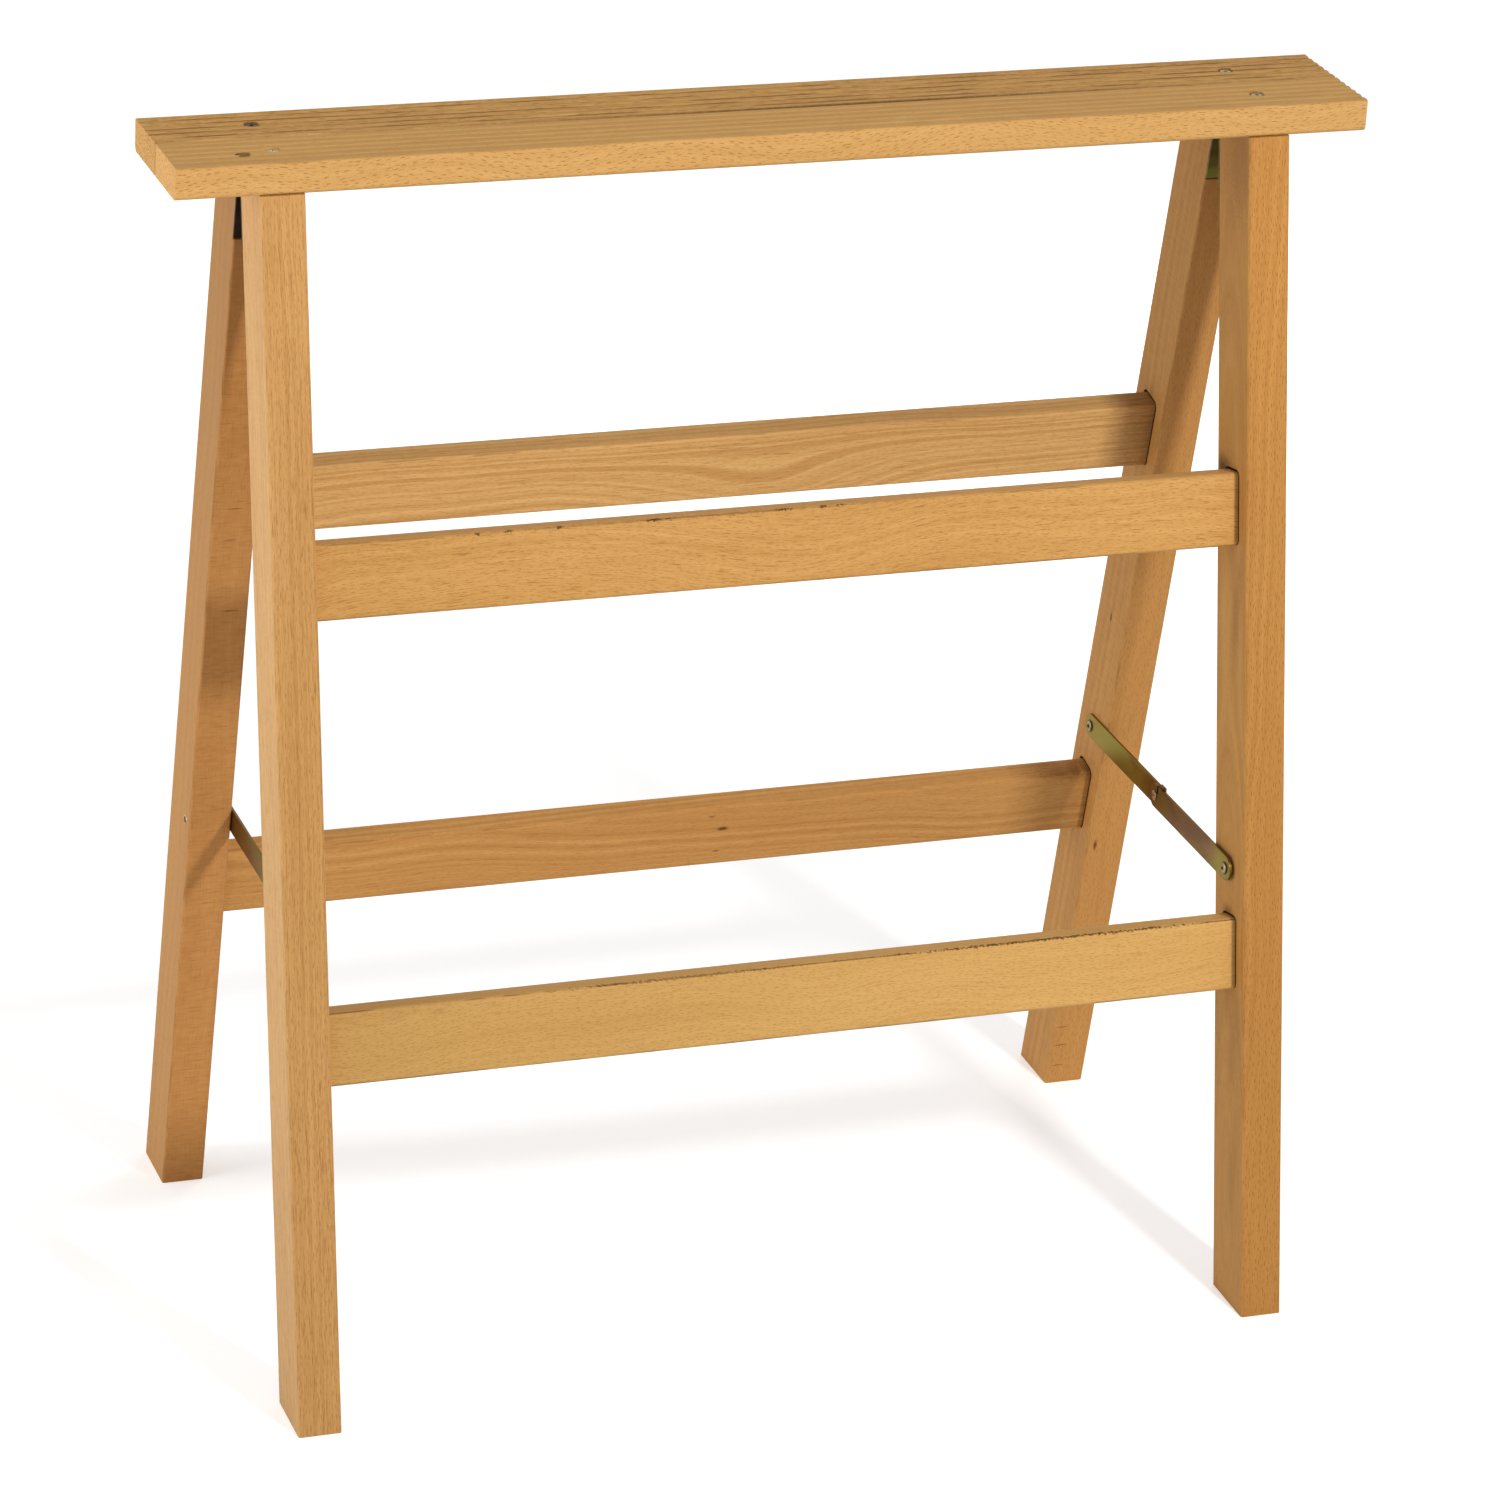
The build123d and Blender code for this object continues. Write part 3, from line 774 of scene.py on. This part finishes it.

# %% Legs
# The Side tints mix each leg's own side grain with painted light from the fill on the left, and drift paints
# shade towards the feet of the front legs and the tops of the rear ones.
beech("front_left_leg", "flat", heart=(-45, 20), pale=(206, 157, 96), deep=(184, 133, 75),
      wander=(5, 4, 0), flecks=0.6, fineness=1.1, lines=0.9, rings=0.55, ring_width=1.8, ripple=0.2,
      flakes=0.1, dirt=0.35, drift=0.06, side=(1.06, 1.17, 1.42, 1))
beech("front_right_leg", "flat", heart=(22, 4), pale=(196, 141, 74), deep=(173, 118, 57),
      wander=(22, 8, 0), heart_lean=(0.03, 0.01, 0), flecks=1.0, fineness=1.2, lines=0.45, rings=0.4,
      ring_width=2.8, ripple=0.1, flakes=0.0, dirt=0.35, drift=0.05, side=(1.12, 1.24, 1.42, 1),
      marks=[*(faint_patch(*spot) for spot in faint_patch_places), *rail_gap_shades])
beech("rear_left_leg", "quarter", heart=(50, 30), pale=(187, 140, 84), deep=(167, 117, 63),
      wander=(14, 8, 0), flecks=0.5, lines=0.4, rings=0.2, ripple=0.5, flakes=0.6, dirt=0.25,
      drift=-0.14, side=(1.06, 0.98, 0.93, 1), marks=left_lines)
beech("rear_right_leg", "flat", heart=(-40, 60), pale=(201, 149, 86), deep=(178, 124, 66),
      wander=(14, 8, 0), flecks=0.7, fineness=1.3, lines=0.4, rings=0.4, ripple=0.3, flakes=0.3,
      dirt=0.25, drift=-0.13, side=(1.16, 1.21, 1.26, 1), marks=[side_knot, front_knot, *right_lines])
print("boards and legs:", len(planks))

# %% [markdown]
# The rails are let into the legs. The upper rear one shows the arches of a slanting cut, so it has a
# valley in its rings, and the lower rear one has a knot with two streaks beside it. Both are dark at
# their right end. The rails of the front frame are dirty along the front edge of their top, in short
# spots on the upper one and in two long lines on the lower one.

# %% Marks on the rails
knot_brown = (104, 62, 30)
knots = [
    mark((40.1, 114.4, 230.6), reach=(5.5, 4.0, 2.2), tone=knot_brown, core=0.2),
    mark((31.5, 112.5, 240.6), reach=(3.2, 2.5, 1.0), tone=knot_brown, core=0.0, strength=0.8),
    mark((37.2, 117.8, 213.4), reach=(3.6, 2.5, 1.1), tone=knot_brown, core=0.0, strength=0.8),
]
dark_end = mark((299.0, 60.0, 510.0), reach=(44.0, 40.0, 60.0), tone=(92, 44, 18), core=0.0, strength=0.45)
dark_low_end = mark((299.0, 112.0, 262.0), reach=(60.0, 16.0, 26.0), tone=(70, 38, 20),
                    core=0.1, strength=0.85)
edge_rounding = 0.7
edge_dirt_half, edge_dirt_brown = 1.4, (58, 36, 18)
upper_spots = ((-194, 3), (-174, 3), (-142, 4), (-84, 6), (-74, 4), (-2, 6), (24, 4), (34, 4))


def top_edge_dirt(rail, middle, half_length, strength):
    """A dirty line on the front edge of the top of a rail of the front frame."""
    low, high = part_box(rail)
    front = Vector((0, -math.cos(splay), math.sin(splay))) * (rail_half[1] - edge_rounding)
    up = Vector((0, math.sin(splay), math.cos(splay))) * (rail_half[0] - edge_rounding)
    edge = (low + high) / 2 * per_metre + front + up
    reach = (half_length, edge_dirt_half, edge_dirt_half)
    return mark((middle, edge.y, edge.z), reach, edge_dirt_brown, core=0.3, strength=strength, ragged=2.6)


upper_dirt = [top_edge_dirt("front_upper_rail", middle, reach, 0.8) for middle, reach in upper_spots]
upper_dirt.append(top_edge_dirt("front_upper_rail", -60, 150, 0.25))
lower_dirt = [
    top_edge_dirt("front_lower_rail", 170, 130, 0.85),
    top_edge_dirt("front_lower_rail", -70, 90, 0.6),
]
print("dirty spots and lines on the front rails:", len(upper_dirt) + len(lower_dirt))

# %% Rails
# The Side tints paint the tops of the rails darker than their fronts as shade, and drift paints shade along
# some of them.
beech("front_upper_rail", "flat", heart=(30, 50), pale=(213, 162, 96), deep=(193, 141, 75),
      wander=(34, 8, 0), flecks=0.65, fineness=1.35, lines=0.9, rings=0.45, ring_width=2.6, ripple=0.2,
      flakes=0.2, dirt=0.6, side=(0.93, 0.95, 0.96, 1), marks=upper_dirt)
beech("front_lower_rail", "flat", heart=(-40, 45), pale=(214, 169, 101), deep=(196, 149, 83),
      wander=(30, 8, 0), flecks=0.6, fineness=1.5, lines=0.4, rings=0.35, ring_width=3.0, ripple=0.2,
      flakes=0.2, dirt=0.95, drift=0.08, side=(0.85, 0.85, 0.85, 1), marks=lower_dirt)
beech("rear_upper_rail", "flat", heart=(48, -55), pale=(215, 171, 109), deep=(193, 145, 85),
      wander=(10, 6, 0), heart_lean=(0.02, 0.03, 0), valley=(35, 150, 22), flecks=0.45, fineness=1.3,
      lines=0.7, rings=1.05, ring_width=2.2, ripple=0.2, flakes=0.2, dirt=0.5, drift=-0.05,
      side=(0.85, 0.85, 0.85, 1), marks=[dark_end])
beech("rear_lower_rail", "flat", heart=(-30, -40), pale=(204, 153, 90), deep=(182, 129, 70),
      wander=(24, 8, 0), heart_lean=(0.02, 0.02, 0), flecks=0.5, fineness=1.3, lines=0.6, rings=0.7,
      ring_width=3.0, ripple=0.2, flakes=0.2, dirt=0.4, drift=-0.04, marks=[*knots, dark_low_end])
for node, material in planks.items():
    dress(node, material)
print("wooden pieces:", len(planks))

# %% [markdown]
# The stays and hinges are steel with a yellow passivated zinc skin. The skin is about as thin as light
# waves are long, so its colour drifts from olive green through straw to a purplish brown. A slow noise
# picks the colour, and a fine one breaks up the shine. Metal turns white at a glancing angle, so the
# shader's Specular Tint, which colours a metal's edges, keeps the stays warm there.

# %% Passivated skin
patch_size = (20.0, 42.0, 14.0)
grit_size = (0.8, 0.8, 0.8)
grit_in_colour, grit_in_shine = 0.14, 0.25
straw_start, straw_full = 0.34, 0.48
purple_start, purple_full = 0.50, 0.64

passivated_skin, steel, skin = start_group(
    "passivated_skin",
    [
        ("Point", "Vector", (0, 0, 0)),
        ("Olive", "Color", (0.1, 0.1, 0.02, 1)),
        ("Straw", "Color", (0.25, 0.2, 0.04, 1)),
        ("Purple", "Color", (0.15, 0.08, 0.04, 1)),
        ("Dullness", "Float", 0.36),
    ],
    [("Color", "Color"), ("Roughness", "Float"), ("Height", "Float")],
)
patches = noise(passivated_skin, steel["Point"], patch_size)["Fac"]
grit = noise(passivated_skin, steel["Point"], grit_size)["Fac"]
skin_drift = calculate(passivated_skin, "ADD", patches, swing(passivated_skin, grit, grit_in_colour))
to_straw = ramp(passivated_skin, skin_drift, straw_start, straw_full)
to_purple = ramp(passivated_skin, skin_drift, purple_start, purple_full)
skin_colour = blend_colour(passivated_skin, to_straw, steel["Olive"], steel["Straw"])
skin_colour = blend_colour(passivated_skin, to_purple, skin_colour, steel["Purple"])
grit_shine = swing(passivated_skin, grit, grit_in_shine)
skin_dullness = calculate(passivated_skin, "ADD", steel["Dullness"], grit_shine)
feed(passivated_skin, skin["Color"], skin_colour)
feed(passivated_skin, skin["Roughness"], skin_dullness)
feed(passivated_skin, skin["Height"], grit)
print("skin nodes:", len(passivated_skin.nodes))

# %% Steel materials
edge_tint = (1.0, 0.95, 0.80, 1.0)
steel_relief, steel_relief_depth = 0.15, 0.0001


def passivated(name, olive, straw, purple, dullness, marks=()):
    """A passivated steel material with its three tones, its roughness and its marks."""
    material, tree, shader = start_material(name)
    where = place(tree, "TexCoord").outputs
    tones = {"Olive": tone_of(*olive), "Straw": tone_of(*straw), "Purple": tone_of(*purple)}
    finish = place(tree, "Group", node_tree=passivated_skin)
    for title, value in {"Point": in_millimetres(tree, where), **tones, "Dullness": dullness}.items():
        feed(tree, finish.inputs[title], value)
    colour = lay_marks(tree, where, finish.outputs["Color"], marks)
    finish_surface(tree, shader, finish.outputs, colour, steel_relief, steel_relief_depth)
    shader.inputs["Metallic"].default_value = 1.0
    shader.inputs["Specular Tint"].default_value = edge_tint
    return material


print("steel finish ready")

# %% [markdown]
# The stays have patches of colour of their own: a brown knee and greenish ends, and painted shade
# darkens the slit beside the knee. Their screws have painted shade in their driver recesses, and
# painted shade lies in a ring round each head. The left hinge has a nearly black steel that paints
# shade, and the right one is olive. The board screws are paler. One of them has a small painted
# highlight, and one is darker.

# %% Marks on the stays and screws
recess_shade_tone = (30, 24, 14)
recess_shade_reach = (9.0, 2.0, 2.0)
head_shade_reach = (40.0, 5.0, 5.0)
bar_half = 8.0
knee_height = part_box("right_stay_rear_bar")[0].z * per_metre + bar_half


def screw_marks(screws, reach, **shape):
    """The same mark of painted shade at each of the two stay screws of one frame."""
    low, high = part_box(screws)
    middle = (low + high) / 2 * per_metre
    sides = (-inner_face, inner_face)
    return [mark((side, middle.y, middle.z), reach, recess_shade_tone, **shape) for side in sides]


def head_shade_rings(screws):
    """Painted shade in rings on a stay bar round the heads of its screws."""
    return screw_marks(screws, head_shade_reach, core=0.76, strength=0.85, ragged=0.0)


def bar_patch(along, above, reach, tone, core, strength):
    """A patch of colour on the right stay, placed from its knee."""
    return mark((inner_face, along, knee_height + above), reach, tone, core=core, strength=strength)


# Painted shade in the slit beside the knee, and on the bar seen through it.
knee_slit_shade = bar_patch(-4.2, 5.6, (9.0, 1.7, 3.4), recess_shade_tone, core=0.5, strength=0.9)
knee_brown = bar_patch(2.0, 0.0, (20.0, 34.0, 20.0), (102, 64, 26), core=0.2, strength=0.85)
knee_olive = bar_patch(-16.0, 0.0, (20.0, 17.0, 16.0), (112, 90, 28), core=0.1, strength=0.8)
lug_brown = bar_patch(-8.2, 9.0, (20.0, 5.0, 3.2), (92, 58, 32), core=0.5, strength=0.9)
end_green = bar_patch(-108.0, 0.0, (20.0, 26.0, 20.0), (140, 126, 44), core=0.2, strength=0.8)
end_rose = bar_patch(-88.0, 1.0, (20.0, 15.0, 7.0), (128, 88, 78), core=0.0, strength=0.7)
# A painted highlight on the front left board screw, and a darker rear left board screw.
painted_highlight_head = mark((-309.0, -24.1, top_height), reach=(2.0, 2.0, 3.0), tone=(255, 250, 222),
                   core=0.3, ragged=0.2)
darker_head = mark((-309.0, 24.1, top_height), reach=(5.0, 5.0, 3.0), tone=(58, 40, 16),
                 core=0.7, strength=0.95)
print("knee height, in mm:", round(knee_height, 1))

# %% Stays, hinges and screws
olive_steel = passivated("olive_stay_steel", (131, 118, 30), (138, 115, 34), (118, 90, 34), 0.40,
                         [knee_brown, lug_brown, knee_slit_shade, *head_shade_rings("rear_stay_screws")])
stay_steel = passivated("stay_steel", (106, 86, 28), (114, 82, 38), (102, 68, 42), 0.40,
                        [knee_olive, end_green, end_rose, knee_slit_shade, *head_shade_rings("front_stay_screws"),
                         *head_shade_rings("rear_stay_screws")])
hinge_steel = passivated("hinge_steel", (112, 108, 50), (100, 88, 42), (84, 68, 38), 0.50)
# Painted shade: the left hinge sits in deep shade under the board, so its steel is painted nearly black.
aged_steel = passivated("aged_steel", (60, 48, 36), (54, 42, 32), (46, 34, 28), 0.55)
rivet_steel = passivated("rivet_steel", (120, 96, 60), (134, 104, 70), (110, 80, 54), 0.34)
screw_steel = passivated("screw_steel", (150, 140, 108), (172, 160, 126), (132, 116, 88), 0.32,
                         [painted_highlight_head, darker_head])
stay_screw_steels = {}
for screws in ("front_stay_screws", "rear_stay_screws"):
    # Painted shade in the driver recesses of the stay screws.
    recess_shades = screw_marks(screws, recess_shade_reach, core=0.7)
    stay_screw_steels[screws] = passivated(screws.replace("screws", "screw_steel"), (140, 130, 102),
                                           (156, 144, 116), (122, 110, 84), 0.34, recess_shades)


def steel_of(node):
    """The steel that a metal piece is made of, by its name."""
    if "hinge" in node:
        return aged_steel if node.startswith("left") else hinge_steel
    if "screws" in node:
        return stay_screw_steels.get(node, screw_steel)
    if "rivet" in node:
        return rivet_steel
    return olive_steel if node == "right_stay_rear_bar" else stay_steel


steel_pieces = [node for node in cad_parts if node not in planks]
for node in steel_pieces:
    dress(node, steel_of(node))
print("steel pieces:", len(steel_pieces))

# %% [markdown]
# The outer side of the rear left leg shows the bare end of a small steel fastener beside the stay: a
# bright ring with a dark hollow. It is modelled by hand as a short cylinder whose outer cap is inset
# and pushed in, with its rim rounded over, and it rides on the rear frame with the leg. A painted dot
# would be quicker, but it would lie flat and catch no light on its rim.

# %% Sizes of the fastener end
millimetre = 0.001
fastener_sides = 40
fastener_radius = 3.2 * millimetre
fastener_rounding = 0.3 * millimetre
fastener_rim = 1.1 * millimetre
fastener_hollow = 0.9 * millimetre
fastener_proud = 0.45 * millimetre
fastener_seat = 2.0 * millimetre
fastener_y, fastener_z = 0.0995, 0.280
leg_outer_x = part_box("rear_left_leg")[0].x
fastener_length = fastener_seat + fastener_proud
fastener_middle = leg_outer_x - fastener_proud + fastener_length / 2
print("fastener end, length in mm:", round(fastener_length * per_metre, 2))

# %% Fastener end on the rear left leg
rounding_steps = 3
smooth_angle = math.radians(35)
cap_squareness = 0.99


def select_outer_cap(piece):
    """Select in edit mode only the faces that look straight outwards, along -X."""
    bpy.ops.object.mode_set(mode="OBJECT")
    for edge in piece.data.edges:
        edge.select = False
    for vertex in piece.data.vertices:
        vertex.select = False
    for face in piece.data.polygons:
        face.select = face.normal.x < -cap_squareness
    bpy.ops.object.mode_set(mode="EDIT")
    bpy.ops.mesh.select_mode(type="FACE")


bpy.ops.object.select_all(action="DESELECT")
bpy.ops.mesh.primitive_cylinder_add(
    vertices=fastener_sides,
    radius=fastener_radius,
    depth=fastener_length,
    location=(fastener_middle, fastener_y, fastener_z),
    rotation=(0, -quarter_turn, 0),
)
fastener = bpy.context.object
fastener.name = "rear_left_fastener_end"
bpy.ops.object.transform_apply(location=True, rotation=True, scale=True)
select_outer_cap(fastener)
bpy.ops.mesh.bevel(offset=fastener_rounding, segments=rounding_steps, affect="EDGES")
select_outer_cap(fastener)
bpy.ops.mesh.inset(thickness=fastener_rim)
bpy.ops.mesh.extrude_region_move(TRANSFORM_OT_translate={"value": (fastener_hollow, 0, 0)})
bpy.ops.mesh.select_all(action="SELECT")
bpy.ops.mesh.normals_make_consistent(inside=False)
bpy.ops.object.mode_set(mode="OBJECT")
bpy.ops.object.shade_smooth_by_angle(angle=smooth_angle)
print("fastener end faces:", len(fastener.data.polygons))

# %% Finish of the fastener end
fastener_hole = Vector((leg_outer_x, fastener_y, fastener_z)) * per_metre
# Painted shade in the hollow of the fastener end.
hole_shade = mark(tuple(fastener_hole), reach=(3.0, 2.8, 2.8), tone=recess_shade_tone, core=0.9)
fastener_steel = passivated("fastener_steel", (172, 162, 128), (196, 184, 150), (150, 134, 104), 0.30,
                            [hole_shade])
fastener.data.materials.append(fastener_steel)
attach(fastener, "rear_frame")
print("fastener end rides on the rear frame")
